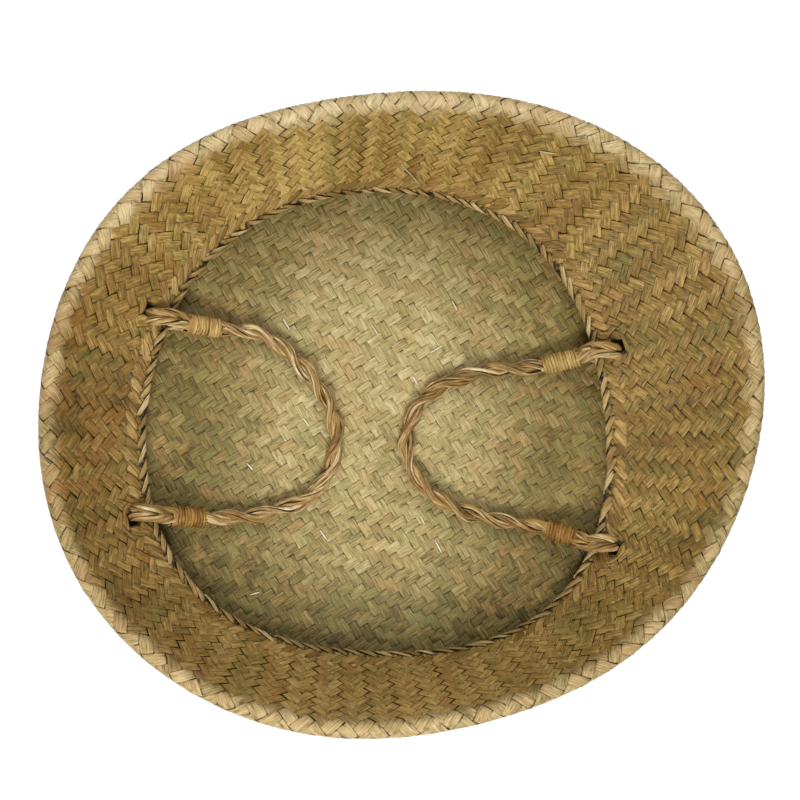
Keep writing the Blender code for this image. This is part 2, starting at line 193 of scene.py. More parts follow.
def seagrass(name, tones, warm, green, dive_shade, edge_shade=0.94, streak_mm=0.6, streak=1.2,
             crease=0.5, zones=None):
    """Dry seagrass leaf, split and pressed flat, unvarnished.

    To the eye it is matt straw. Each float has its own tone and leans to a warm brown or to a
    faint green, fine dark and pale lines run along its fibres, and painted shade darkens it where
    it dives under another. A strip's attributes hold the place along and across it in metres
    (grain), its tone, which carries painted light and shade in places, and its tint, how high it
    rides in the plait, lowered where shade is painted (rise), how near it is to the strip's edge
    (side) and how far it lies from the fold's crest or from the middle (zone).
    """
    made, tree = new_material(name)
    grain = add_node(tree, "ShaderNodeAttribute", attribute_name="grain").outputs["Vector"]
    tone = add_node(tree, "ShaderNodeAttribute", attribute_name="tone").outputs["Fac"]
    tint = add_node(tree, "ShaderNodeAttribute", attribute_name="tint").outputs["Fac"]
    rise = add_node(tree, "ShaderNodeAttribute", attribute_name="rise").outputs["Fac"]
    side = add_node(tree, "ShaderNodeAttribute", attribute_name="side").outputs["Fac"]

    # Fibre lines: a leaf's are 0.2 mm apart, and are drawn streak_mm apart so that they show,
    # with creases three times as far apart
    lines = []
    for apart, longer in ((streak_mm, 12), (streak_mm * 3, 9)):
        stretched = add_node(tree, "ShaderNodeVectorMath", {
            0: grain, 1: (1 / (apart * longer * MM), 1 / (apart * MM), 1000.0)},
            operation="MULTIPLY").outputs[0]
        noise = add_node(tree, "ShaderNodeTexNoise", {
            "Vector": stretched, "Scale": 1.0, "Detail": 2.0, "Roughness": 0.6}).outputs["Fac"]
        lines.append(add_node(tree, "ShaderNodeMapRange", {
            "Value": noise, "From Min": 0.34, "From Max": 0.66}).outputs[0])
    fibres = add_node(tree, "ShaderNodeMix", {0: crease, 2: lines[0], 3: lines[1]}).outputs[0]

    # Blotches some 5 mm long, where the leaf dried unevenly
    blotch_place = add_node(tree, "ShaderNodeVectorMath", {
        0: grain, 1: (210.0, 330.0, 1000.0)}, operation="MULTIPLY").outputs[0]
    blotch = add_node(tree, "ShaderNodeTexNoise", {
        "Vector": blotch_place, "Scale": 1.0, "Detail": 3.0, "Roughness": 0.6}).outputs["Fac"]

    # Tone: the float's own, shifted by the blotches and the fibres
    shifted = add_node(tree, "ShaderNodeMath", {
        0: blotch, 1: 1.3, 2: tone}, operation="MULTIPLY_ADD").outputs[0]
    shifted = add_node(tree, "ShaderNodeMath", {
        0: fibres, 1: streak, 2: shifted}, operation="MULTIPLY_ADD").outputs[0]
    middle = 1.15 + streak / 2
    low = add_node(tree, "ShaderNodeMapRange", {
        "Value": shifted, "From Min": middle - 0.95, "From Max": middle}).outputs[0]
    high = add_node(tree, "ShaderNodeMapRange", {
        "Value": shifted, "From Min": middle, "From Max": middle + 0.95}).outputs[0]

    def palette(three):
        """The leaf's colour by its tone: dark, plain and pale."""
        lower = add_node(tree, "ShaderNodeMix", {
            FACTOR: low, FIRST: linear(three[0]), SECOND: linear(three[1])},
            data_type="RGBA").outputs[MIXED]
        return add_node(tree, "ShaderNodeMix", {
            FACTOR: high, FIRST: lower, SECOND: linear(three[2])},
            data_type="RGBA").outputs[MIXED]

    colour = palette(tones)
    if zones:
        zone = add_node(tree, "ShaderNodeAttribute", attribute_name="zone").outputs["Fac"]
        for start, stop, three in zones:
            share = add_node(tree, "ShaderNodeMapRange", {
                "Value": zone, "From Min": start, "From Max": stop},
                interpolation_type="SMOOTHSTEP").outputs[0]
            colour = add_node(tree, "ShaderNodeMix", {
                FACTOR: share, FIRST: colour, SECOND: palette(three)},
                data_type="RGBA").outputs[MIXED]

    # Tint: leaves cured warm brown, or still a little green, unevenly along their length
    leaning = add_node(tree, "ShaderNodeMath", {
        0: blotch, 1: 2.2, 2: tint}, operation="MULTIPLY_ADD").outputs[0]
    for colour_of, start, stop in ((warm, 1.25, 2.6), (green, 0.95, -0.4)):
        share = add_node(tree, "ShaderNodeMapRange", {
            "Value": leaning, "From Min": start, "From Max": stop, "To Max": 0.62}).outputs[0]
        colour = add_node(tree, "ShaderNodeMix", {
            FACTOR: share, FIRST: colour, SECOND: linear(colour_of)},
            data_type="RGBA").outputs[MIXED]

    # Painted shade: darker where the strip dives under, here more and there less, and a little
    # along its edges and in its deepest fibre lines
    height = add_node(tree, "ShaderNodeMath", {
        0: blotch, 1: 2.2, 2: rise}, operation="MULTIPLY_ADD").outputs[0]
    dive = add_node(tree, "ShaderNodeMapRange", {
        "Value": height, "From Min": 1.0, "From Max": 1.75, "To Min": dive_shade,
        "To Max": 1.0}).outputs[0]
    near_edge = add_node(tree, "ShaderNodeMath", {
        0: fibres, 1: 0.3, 2: side}, operation="MULTIPLY_ADD").outputs[0]
    edge = add_node(tree, "ShaderNodeMapRange", {
        "Value": near_edge, "From Min": 0.98, "From Max": 1.24, "To Min": 1.0,
        "To Max": edge_shade}).outputs[0]
    groove_shade = add_node(tree, "ShaderNodeMapRange", {
        "Value": lines[0], "From Max": 0.3, "To Min": 0.72, "To Max": 1.0}).outputs[0]
    edge = add_node(tree, "ShaderNodeMath", {0: edge, 1: groove_shade}, operation="MULTIPLY").outputs[0]
    dive = add_node(tree, "ShaderNodeMath", {0: dive, 1: edge}, operation="MULTIPLY").outputs[0]
    shade = add_node(tree, "ShaderNodeVectorMath", {0: colour, "Scale": dive},
                     operation="SCALE").outputs[0]

    bump = add_node(tree, "ShaderNodeBump", {
        "Height": fibres, "Strength": 0.9, "Distance": 0.45 * MM}).outputs["Normal"]
    dull = add_node(tree, "ShaderNodeMapRange", {
        "Value": fibres, "To Min": 0.62, "To Max": 0.4}).outputs[0]
    shader = add_node(tree, "ShaderNodeBsdfPrincipled", {
        "Base Color": shade, "Roughness": dull, "Metallic": 0.0, "IOR": 1.45,
        "Specular IOR Level": 0.42, "Normal": bump})
    add_node(tree, "ShaderNodeOutputMaterial", {"Surface": shader.outputs[0]})
    return made


def mesh_of_rings(name, rings, attributes, material, counts=None):
    """Closed strips from an array of rings, shaped (strips, rings, points round, 3).

    counts says how many of its rings each strip uses.
    """
    strips, most, sides = rings.shape[:3]
    counts = np.full(strips, most) if counts is None else counts
    used = np.arange(most)[None, :] < counts[:, None]
    index = np.zeros((strips, most, sides), int)
    index[used] = np.arange(used.sum() * sides).reshape(-1, sides)
    here = index[:, :-1][used[:, 1:]]
    there = index[:, 1:][used[:, 1:]]
    quads = np.stack([here, np.roll(here, -1, 1), np.roll(there, -1, 1), there], -1)
    caps = np.concatenate([index[:, 0, ::-1], index[np.arange(strips), counts - 1]])
    corners = np.concatenate([quads.ravel(), caps.ravel()])
    totals = np.concatenate([np.full(quads.size // 4, 4), np.full(len(caps), sides)])
    starts = np.concatenate([[0], np.cumsum(totals)[:-1]])
    mesh = bpy.data.meshes.new(name)
    mesh.vertices.add(used.sum() * sides)
    mesh.vertices.foreach_set("co", rings[used].astype(np.float32).ravel())
    mesh.loops.add(len(corners))
    mesh.loops.foreach_set("vertex_index", corners.astype(np.int32))
    mesh.polygons.add(len(totals))
    mesh.polygons.foreach_set("loop_start", starts.astype(np.int32))
    mesh.polygons.foreach_set("loop_total", totals.astype(np.int32))
    mesh.polygons.foreach_set("use_smooth", np.ones(len(totals), bool))
    for title, values in attributes.items():
        values = np.broadcast_to(values, rings.shape[:3] + values.shape[3:])[used]
        values = np.ascontiguousarray(values, np.float32)
        if values.ndim == 3:
            layer = mesh.attributes.new(title, "FLOAT_VECTOR", "POINT")
            layer.data.foreach_set("vector", values.ravel())
        else:
            layer = mesh.attributes.new(title, "FLOAT", "POINT")
            layer.data.foreach_set("value", values.ravel())
    mesh.update(calc_edges=True)
    mesh.validate()
    mesh.materials.append(material)
    piece = bpy.data.objects.new(name, mesh)
    bpy.context.scene.collection.objects.link(piece)
    return piece


def settle(piece, body, slot, *nodes):
    """Puts a piece on its body and in the place of the solids it stands for. The slot is not used.
    """
    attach(piece, body)
    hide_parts(*nodes)
    return piece


def wander(seeds, places, longest, rng):
    """Slow smooth noise from -1 to 1 for each strip, at the given places along it."""
    total = np.zeros(np.broadcast_shapes(seeds.shape, places.shape))
    for wave in (1.0, 0.53, 0.29):
        phase = rng.uniform(0, 2 * np.pi, seeds.shape)
        total = total + np.sin(2 * np.pi * places / (longest * wave) + phase) * wave
    return total / 1.82


def patchy(points, size, rng):
    """Slow smooth noise over the plan, from about -1 to 1, in patches of about a given size."""
    total = 0
    for _ in range(8):
        way = rng.uniform(0, 2 * np.pi)
        wave = size * rng.uniform(0.7, 1.7)
        place = points[..., 0] * math.cos(way) + points[..., 1] * math.sin(way)
        total = total + np.sin(2 * np.pi * place / wave + rng.uniform(0, 2 * np.pi))
    return total / 3.4


def lobed(radius, lobes, angle, amount=1.0):
    """A plan radius at an angle, swelled by each row of lobes."""
    swell = sum(share * np.cos(count * (angle - np.radians(first)))
                for count, share, first in lobes)
    return radius * (1 + amount * swell)


def wall_lines(angle):
    """The wall's middle line at each angle, as (reach, height), evenly spaced from rim to base.

    Also its length and how far from the rim the fold's crest lies.
    """
    base = base_edge(angle)
    widest = lobed(BELLY_RADIUS, BELLY_LOBES, angle) - FABRIC / 2
    rim = lobed(RIM_RADIUS, RIM_LOBES, angle) + BORDER_THICKNESS / 2
    rise = lobed(FOLD_RISE, RISE_LOBES, angle)
    lean = np.arctan2(widest - 2 * ROLL_RADIUS - rim, rise)
    roll_height = RIM_HEIGHT + rise

    share = np.linspace(0, 1, 121)[:, None]
    turn = share * np.pi / 2
    belly = np.stack([
        base + (widest - base) * np.sin(turn),
        FABRIC / 2 + (roll_height - FABRIC / 2) * (1 - np.cos(turn)),
    ], -1)
    turn = share * (np.pi - lean * TUCK_TOP_LEAN)
    roll = np.stack([
        widest - ROLL_RADIUS + ROLL_RADIUS * np.cos(turn),
        roll_height + ROLL_RADIUS * np.sin(turn),
    ], -1)
    start = roll[-1]
    end = np.stack([rim, np.full_like(rim, RIM_HEIGHT)], -1)
    span = np.linalg.norm(end - start, axis=-1)[:, None]
    top = -np.stack([np.sin(lean * TUCK_TOP_LEAN), np.cos(lean * TUCK_TOP_LEAN)], -1) * span
    low = -np.stack([np.sin(lean * TUCK_RIM_LEAN), np.cos(lean * TUCK_RIM_LEAN)], -1) * span
    t = share[..., None]
    tuck = (start * (2 * t**3 - 3 * t**2 + 1) + top * (t**3 - 2 * t**2 + t)
            + end * (3 * t**2 - 2 * t**3) + low * (t**3 - t**2))
    line = np.concatenate([belly, roll[1:], tuck[1:]])[::-1]

    steps = np.linalg.norm(np.diff(line, axis=0), axis=-1)
    walked = np.concatenate([np.zeros((1, len(angle))), np.cumsum(steps, 0)])
    even = np.empty((len(angle), SPAN, 2))
    for i in range(len(angle)):
        wanted = np.linspace(0, walked[-1, i], SPAN)
        even[i, :, 0] = np.interp(wanted, walked[:, i], line[:, i, 0])
        even[i, :, 1] = np.interp(wanted, walked[:, i], line[:, i, 1])
    return even, walked[-1], walked[-len(belly)] - ROLL_RADIUS * np.pi / 2


def between(table, angle, place):
    """Values of a table over the angle round the wall and a second place, between its entries."""
    angle, place = np.broadcast_arrays(angle, place)
    turned = np.mod(angle / (2 * np.pi) * ROUND, ROUND)
    low = np.floor(turned).astype(int) % ROUND
    after = (low + 1) % ROUND
    part = turned - np.floor(turned)
    row = np.clip(place.astype(int), 0, table.shape[1] - 2)
    up = place - row
    if table.ndim == 3:
        part = part[..., None]
        up = up[..., None]
    here = table[low, row] * (1 - up) + table[low, row + 1] * up
    there = table[after, row] * (1 - up) + table[after, row + 1] * up
    return here * (1 - part) + there * part


class Wall:
    """The wall's middle surface, over the angle round it and the way up and over from the rim."""

    def __init__(self):
        angle = np.arange(ROUND) * 2 * np.pi / ROUND
        lines, lengths, crests = wall_lines(angle)
        reach = lines[..., 0]
        self.points = np.stack([
            reach * np.cos(angle)[:, None], reach * np.sin(angle)[:, None], lines[..., 1],
        ], -1)
        round_it = np.roll(self.points, -1, 0) - np.roll(self.points, 1, 0)
        square = np.cross(np.gradient(self.points, axis=1), round_it)
        self.normals = square / np.linalg.norm(square, axis=-1, keepdims=True)

        # Plait rows from the rim: a little further apart than the strips are round it, because
        # the plait is pulled taller than it is wide, most at the rear
        spacing = lobed(ROW_SPACING, ROW_SPACING_LOBES, angle)[:, None]
        rows = WALL_STRIPS / (2 * np.pi * reach * spacing) * lengths[:, None] / (SPAN - 1)
        rows = np.cumsum((rows[:, 1:] + rows[:, :-1]) / 2, 1)
        self.rows = np.concatenate([np.zeros((ROUND, 1)), rows], 1)
        self.row_step = self.rows.max() / (ROW_STEPS - 1)
        wanted = np.arange(ROW_STEPS) * self.row_step
        places = np.linspace(0, 1, SPAN)
        self.ups = np.stack([
            np.interp(wanted, self.rows[i], places * lengths[i]) for i in range(ROUND)])
        self.lengths = np.stack([lengths, lengths], 1)
        self.crests = np.stack([crests, crests], 1)

    def length_at(self, angle):
        """How long the wall is from the rim to the base."""
        return between(self.lengths, angle, np.zeros(1))

    def crest_at(self, angle):
        """How far up from the rim the fold's crest lies."""
        return between(self.crests, angle, np.zeros(1))

    def up_at(self, angle, rows):
        """How far up from the rim a plait row lies."""
        return between(self.ups, angle, rows / self.row_step)

    def rows_at(self, angle, up):
        """How many plait rows lie below a place up the wall."""
        return between(self.rows, angle, up / self.length_at(angle) * (SPAN - 1))

    def at(self, angle, up):
        """Points of the middle surface and the directions that its outer face looks in."""
        place = np.clip(up / self.length_at(angle), 0, 1) * (SPAN - 1)
        normals = between(self.normals, angle, place)
        normals = normals / np.linalg.norm(normals, axis=-1, keepdims=True)
        return between(self.points, angle, place), normals


def hinge_line(name):
    """The level line through the middles of a handle's two eyes, from front to rear."""
    ends = []
    for end in ("front", "rear"):
        angle = np.radians(np.array([float(HANDLES[name][end]["round_rim"])]))
        ends.append(Vector(WALL.at(angle, np.array([EYE_UP_THE_WALL]))[0][0]))
    level = (ends[0].z + ends[1].z) / 2
    for end in ends:
        end.z = level
    return ends


def rope_end(name, end):
    """An eye's middle, the hinge's direction, its whipping's direction, start and stop."""
    front, rear = hinge_line(name)
    centre = rear if end == "rear" else front
    place = HANDLES[name][end]
    axis = (rear - front).normalized()
    inward = axis.cross(Vector((0, 0, 1))) * -HANDLES[name]["side"]
    level = Matrix.Rotation(math.radians(place["yaw"]), 3, "Z") @ inward
    start = EYE_OUTER + NECK
    stop = start + place["turns"] * WHIPPING_PITCH + WHIPPING_STRAND
    lying = FABRIC + LYING_CLEARANCE + WHIPPING_MIDDLE + WHIPPING_STRAND / 2
    fall = math.asin((centre.z - lying) / stop)
    direction = level * math.cos(fall) - Vector((0, 0, math.sin(fall)))
    return centre, axis, direction, start, stop


def smooth_through(points, spacing):
    """Points along one smooth curve through the given ones, evenly spaced along it."""
    points = np.array([tuple(p) for p in points])
    before = np.concatenate([points[:1], points[:-1]])
    slope = (np.concatenate([points[1:], points[-1:]]) - before) / 2
    t = (np.arange(24) / 24)[:, None]
    spans = [
        points[i] * (2 * t**3 - 3 * t**2 + 1) + slope[i] * (t**3 - 2 * t**2 + t)
        + points[i + 1] * (3 * t**2 - 2 * t**3) + slope[i + 1] * (t**3 - t**2)
        for i in range(len(points) - 1)
    ]
    fine = np.concatenate(spans + [points[-1:]])
    walked = walked_along(fine)
    wanted = np.linspace(0, walked[-1], max(4, int(round(walked[-1] / spacing)) + 1))
    return np.stack([np.interp(wanted, walked, fine[:, k]) for k in range(3)], -1)


def walked_along(line):
    """How far along a line of points each of them lies."""
    return np.concatenate([[0], np.cumsum(np.linalg.norm(np.diff(line, axis=0), axis=1))])


def frames_along(line, first_across):
    """Directions along a line and two square to it, carried on without twist."""
    along = np.gradient(line, axis=0)
    along /= np.linalg.norm(along, axis=1, keepdims=True)
    across = np.empty_like(line)
    last = np.array(first_across, float)
    for i, direction in enumerate(along):
        last = last - direction * last.dot(direction)
        last /= np.linalg.norm(last)
        across[i] = last
    return along, across, np.cross(along, across)


def eye_holes():
    """Where the eyes pass through the wall: angle round it and distance up from the rim."""
    holes = []
    for name in HANDLES:
        for end in ("rear", "front"):
            centre, axis = rope_end(name, end)[:2]
            round_rim = math.radians(HANDLES[name][end]["round_rim"])
            ups = np.linspace(8 * MM, 22 * MM, 200)
            angles = np.full_like(ups, round_rim)
            points, _ = WALL.at(angles, ups)
            away = points - np.array(centre)
            away -= np.outer(away @ np.array(axis), np.array(axis))
            best = np.argmin(np.abs(np.linalg.norm(away, axis=1) - EYE_MIDDLE))
            holes.append((round_rim, ups[best] + HOLE_PAST_ROPE))
    return holes


HOLE_HALF_WIDTH = 5.3 * MM
HOLE_HALF_HEIGHT = 3.7 * MM
HOLE_PAST_ROPE = 0.9 * MM
HOLE_REACH = 2.5
HOLE_SHIFT_REACH = 11 * MM


def pushed_aside(angle, up):
    """The plait's places round an eye, where the maker's awl pushed the strips apart."""
    for centre, height in EYE_HOLES:
        reach = RIM_RADIUS + 5 * MM
        x = (np.mod(angle - centre + np.pi, 2 * np.pi) - np.pi) * reach
        y = up - height
        near = (np.abs(x) < 40 * MM) & (np.abs(y) < 40 * MM)
        if not near.any():
            continue
        # The strips' nearest crossing of gaps is drawn onto the hole's middle
        rows = WALL.rows_at(np.array([centre]), np.array([height]))[0]
        turns = centre / (2 * np.pi) * WALL_STRIPS
        u = round(turns + rows)
        v = round(turns - rows)
        corner_angle = (u + v) / 2 / WALL_STRIPS * 2 * np.pi
        corner_up = WALL.up_at(np.array([corner_angle]), np.array([(u - v) / 2]))[0]
        from_x = (centre - corner_angle) * reach
        from_y = height - corner_up
        falloff = np.exp(-((x + from_x) ** 2 + (y + from_y) ** 2) / HOLE_SHIFT_REACH**2)
        x = x + from_x * falloff
        y = y + from_y * falloff
        away = np.sqrt((x / HOLE_HALF_WIDTH) ** 2 + (y / HOLE_HALF_HEIGHT) ** 2) + 1e-6
        push = np.where(away < HOLE_REACH, (1 + away * (HOLE_REACH - 1) / HOLE_REACH) / away, 1)
        angle = np.where(near, centre + x * push / reach, angle)
        up = np.where(near, height + y * push, up)
    return angle, up


def from_hole(angle, up):
    """How far a place on the wall is from the nearest eye's hole: 1 at the hole's edge."""
    nearest = np.full(angle.shape, 9.0)
    for centre, height in EYE_HOLES:
        x = (np.mod(angle - centre + np.pi, 2 * np.pi) - np.pi) * (RIM_RADIUS + 5 * MM)
        away = np.hypot(x / HOLE_HALF_WIDTH, (up - height) / HOLE_HALF_HEIGHT)
        nearest = np.minimum(nearest, away)
    return nearest


def on_wall(u, v, height):
    """Points a height off the wall's middle surface at places of the plait, and how far up."""
    angle = (u + v) / 2 / WALL_STRIPS * 2 * np.pi
    up = WALL.up_at(angle, np.maximum((u - v) / 2, 0))
    angle, up = pushed_aside(angle, up)
    points, normals = WALL.at(angle, up)
    return points + normals * height[..., None], angle, up


def weave_height(distance):
    """How high a strip rides: 1 over two crossing strips, then -1 under two."""
    return np.clip(np.sin(np.pi * distance / 2) / math.sin(np.pi * DIVE / 2), -1, 1)


def places_along(low, high, offset):
    """Places along a strip: its two ends, each cell's middle and both sides of each dive."""
    cells = np.arange(math.floor(low) - 2, math.ceil(high) + 2)[:, None] + offset
    every = (cells + np.array([0, DIVE, 0.5, 1 - DIVE])).ravel()
    inside = every[(every > low + 0.04) & (every < high - 0.04)]
    return np.concatenate([[low], inside, [high]])


def side_by_side(lists):
    """Lists of different lengths as one array, each filled up with its last value."""
    counts = np.array([len(values) for values in lists])
    filled = [np.pad(values, (0, counts.max() - len(values)), "edge") for values in lists]
    return np.stack(filled), counts


# A strip's section: places across it and how much of the crown they have, then its underside
STRIP_SIDES = np.array([-1, -0.93, 0, 0.93, 1, 0.86, -0.86])
STRIP_CROWN = np.array([0.4, 0.8, 1, 0.8, 0.4, 0, 0])
STRIP_UNDER = np.array([0, 0, 0, 0, 0, 1, 1])


def strip_heights(height, crown, tilt):
    """The heights of a strip's section, from its middle height, crown and lean at each ring."""
    return (height[..., None] + crown * STRIP_CROWN - STRIP_THICKNESS * STRIP_UNDER
            + tilt[..., None] * STRIP_SIDES)


def own_values(cell, rng):
    """A random value from 0 to 1 for each float of each strip."""
    cell = cell - cell.min()
    return np.take_along_axis(rng.uniform(0, 1, (len(cell), cell.max() + 1)), cell, 1)


def last_place(strip, way):
    """How far along it each of the wall's strips meets the base."""
    passed = np.full(len(strip), 50.0)
    for _ in range(40):
        angle = (strip + 0.5 + way * passed / 2) / WALL_STRIPS * 2 * np.pi
        passed = passed * 0.5 + WALL.rows_at(angle, WALL.length_at(angle))
    return passed


def wall_family(name, way, material):
    """The wall's strips that climb one way round from the rim, in three pieces."""
    rng = np.random.default_rng(SEED + way)
    ends = last_place(np.arange(WALL_STRIPS), way)
    passed, counts = side_by_side([places_along(0, end, 0.5) for end in ends])
    strip = np.arange(WALL_STRIPS)[:, None].astype(float)
    lane = strip + 0.5 + 0.015 * wander(strip, passed, 22, rng)
    crossing = strip + 0.5 + way * passed
    first = np.mod(1 + way - strip, 4)
    rise = weave_height(crossing - first)
    cell = np.floor((crossing - first) / 2).astype(int)

    # Each float lies a little off its lane, wide or narrow, high or low, askew, and with one
    # edge over its neighbour's. Beside an eye they are pushed tidy.
    middle = (crossing + lane) / WALL_STRIPS * np.pi
    free = np.clip(from_hole(middle, WALL.up_at(middle, passed / 2)) / 2 - 1, 0, 1)
    calm = 0.4 + 0.6 * np.clip(passed / 5, 0, 1)
    along_float = crossing - first - 2 * cell - 1
    off = 0.10 * (own_values(cell, rng) - 0.5) + 0.13 * along_float * (own_values(cell, rng) - 0.5)
    off = off * free
    lift = rng.normal(0, 0.04 * MM, strip.shape) + 0.12 * MM * (own_values(cell, rng) - 0.5)
    height = (rise * WALL_WAVE + lift * (rise > 0)) * calm
    tilt = 0.06 * MM + 0.16 * MM * (own_values(cell, rng) - 0.5)
    width = 1.065 + 0.012 * wander(strip, passed, 9, rng) + rng.normal(0, 0.015, strip.shape)
    width = width + 0.10 * (own_values(cell, rng) - 0.5)
    width = 0.5 * (0.95 + (width - 0.95) * free) * (1 - WALL_PINCH * free * (1 - np.abs(rise)))
    heights = strip_heights(height, WALL_CROWN, tilt)
    across = width[..., None] * STRIP_SIDES
    lanes = (lane + off)[..., None] + across
    crossings = np.broadcast_to(crossing[..., None], lanes.shape)
    u, v = (crossings, lanes) if way > 0 else (lanes, crossings)
    rings, angle, up = on_wall(u, v, heights)
    rings[..., 2] = np.maximum(rings[..., 2], LEAST_HEIGHT)

    # A float has one tone, and mostly one place on the way over the fold
    float_passed = np.abs(first + 2 * cell + 1 - strip - 0.5)
    float_angle = (strip + 0.5 + way * float_passed / 2) / WALL_STRIPS * 2 * np.pi
    float_up = WALL.up_at(float_angle, float_passed / 2)
    zone = (WALL.crest_at(float_angle) - float_up)[..., None] * 0.65
    zone = (zone + (WALL.crest_at(angle) - up) * 0.35) / MM
    zone = zone - lobed(FOLD_BAND, FOLD_BAND_LOBES, angle) / MM
    zone = zone + 6 * (own_values(cell, rng)[..., None] - 0.5)
    own = np.clip(rng.normal(0.5, 0.16, strip.shape), 0, 1)
    tone = 0.31 + 0.2 * own + 0.22 * own_values(cell, rng)
    attributes = {
        "grain": np.stack(np.broadcast_arrays(
            passed[..., None] * 5.8 * MM, across * 5.5 * MM, strip[..., None] * 0.37), -1),
        # Painted light and shade: the tone is raised at the rear, the rear left and the front, and
        # lowered at the left and right
        "tone": tone[..., None] + 0.22 * patchy(rings, 45 * MM, rng) - 0.14 * np.cos(2 * angle)
                + 0.3 * np.clip(np.cos(angle - 2.25), 0, 1) ** 4
                - 0.24 * np.clip(-np.cos(angle), 0, 1) ** 4
                - 0.1 * np.clip(np.cos(angle), 0, 1) ** 4
                + 0.1 * np.clip(-np.sin(angle), 0, 1),
        "tint": 0.7 * own_values(cell, rng)[..., None] - 0.35 + 0.45 * patchy(rings, 38 * MM, rng)
                - 0.12 * np.cos(angle),
        # Painted shade: strips under the border and round the eyes' holes are darkened as where
        # they dive, and a float's end darkens sooner at one corner
        "rise": np.where(up < 4 * MM, np.minimum(rise[..., None], -0.1), rise[..., None])
                - 1.1 * np.clip(3 - 2 * from_hole(angle, up), 0, 1)
                + DIVE_SLANT * STRIP_SIDES * np.sign(along_float)[..., None],
        "side": np.abs(STRIP_SIDES) * np.ones_like(across),
        "zone": zone,
    }
    # Painted shade: the fold's tone is lowered at its front and sides against its rear
    attributes["tone"] = attributes["tone"] - (zone < 4) * (
        0.5 * np.clip(-np.sin(angle), 0, 1) + 0.2 * np.abs(np.cos(angle)))
    if way > 0:
        rings = rings[:, :, ::-1]
        attributes = {title: values[:, :, ::-1] for title, values in attributes.items()}
    for i, part in enumerate(np.array_split(np.arange(WALL_STRIPS), 3)):
        chosen = {title: values[part] for title, values in attributes.items()}
        piece = mesh_of_rings(f"{name}_{i + 1}", rings[part], chosen, material, counts[part])
        settle(piece, "basket", "wall_plait", "belly_wall", "turned_in_wall")


def base_edge(angle):
    """How far out the base's edge lies at an angle."""
    return lobed(BASE_RADIUS, BELLY_LOBES, angle, BASE_OVAL)


def base_chord(start, direction):
    """How far a straight strip runs each way before it ends in the belly wall's plait."""
    ends = []
    for sign in (-1, 1):
        steps = np.linspace(0, 0.2, 2001)
        x = start[0] + direction[0] * steps * sign
        y = start[1] + direction[1] * steps * sign
        outside = np.hypot(x, y) > base_edge(np.arctan2(y, x)) + BASE_UNDER_WALL
        ends.append(sign * steps[np.argmax(outside)])
    return ends


def base_family(name, slant, offset, material):
    """One of the base's two families of straight strips."""
    rng = np.random.default_rng(SEED + 20 + offset)
    along_way = np.array([math.cos(math.radians(slant)), math.sin(math.radians(slant))])
    side_way = np.array([-along_way[1], along_way[0]])
    found = []
    for lane in range(-36, 36):
        start = side_way * (lane + 0.5) * BASE_PITCH
        if np.hypot(*start) < base_edge(math.atan2(start[1], start[0])) - 3 * MM:
            low, high = base_chord(start, along_way)
            found.append((lane, places_along(low / BASE_PITCH, high / BASE_PITCH, 0)))
    lanes = np.array([lane for lane, _ in found], float)[:, None]
    passed, counts = side_by_side([places for _, places in found])
    first = np.mod(lanes if offset else -lanes, 4)
    rise = weave_height(passed - first)
    cell = np.floor((passed - first) / 2).astype(int)

    drift = 0.025 * wander(lanes, passed, 26, rng)
    lift = rng.normal(0, 0.03 * MM, lanes.shape) + 0.18 * MM * (own_values(cell, rng) - 0.5)
    along_float = passed - first - 2 * cell - 1
    off = 0.06 * (own_values(cell, rng) - 0.5) + 0.08 * along_float * (own_values(cell, rng) - 0.5)
    height = FABRIC / 2 + rise * BASE_WAVE + lift * (rise > 0)
    tilt = 0.05 * MM + 0.18 * MM * (own_values(cell, rng) - 0.5)
    width = 0.5 * (1.06 + 0.012 * wander(lanes, passed, 11, rng)
                   + rng.normal(0, 0.013, lanes.shape) + 0.08 * (own_values(cell, rng) - 0.5))
    width = width * (1 - BASE_PINCH * (1 - np.abs(rise)))
    across = width[..., None] * STRIP_SIDES
    lane_place = (lanes + 0.5 + drift + off)[..., None] + across
    x = (passed[..., None] * along_way[0] + lane_place * side_way[0]) * BASE_PITCH
    y = (passed[..., None] * along_way[1] + lane_place * side_way[1]) * BASE_PITCH
    reach = np.hypot(x, y)
    limit = base_edge(np.arctan2(y, x)) + BASE_UNDER_WALL
    shrink = np.minimum(1, limit / np.maximum(reach, 1e-6))
    heights = strip_heights(height, BASE_CROWN, tilt)
    rings = np.stack([x * shrink, y * shrink, np.maximum(heights, LEAST_HEIGHT)], -1)

    own = np.clip(rng.normal(0.5, 0.16, lanes.shape), 0, 1)
    tone = (0.3 * own + 0.5 * own_values(cell, rng))[..., None]
    attributes = {
        "grain": np.stack(np.broadcast_arrays(
            passed[..., None] * BASE_PITCH, across * BASE_PITCH,
            lanes[..., None] * 0.41 + 40 * offset), -1),
        # Painted light: the tone is raised toward the rear and lowered toward the left
        "tone": tone + 0.15 * patchy(rings, 45 * MM, rng) + 2.0 * y + 0.6 * np.minimum(x, 0),
        "tint": own_values(cell, rng)[..., None] - 0.5 + 0.3 * patchy(rings, 50 * MM, rng),
        "zone": np.hypot(1.2 * x, 0.85 * y) / MM,
        "rise": rise[..., None] + 0.6 * DIVE_SLANT * STRIP_SIDES * np.sign(
            along_float)[..., None],
        "side": np.abs(STRIP_SIDES) * np.ones_like(across),
    }
    attributes = {title: values[:, :, ::-1] for title, values in attributes.items()}
    piece = mesh_of_rings(name, rings[:, :, ::-1], attributes, material, counts)
    return settle(piece, "basket", "base_plait", "base_mat")


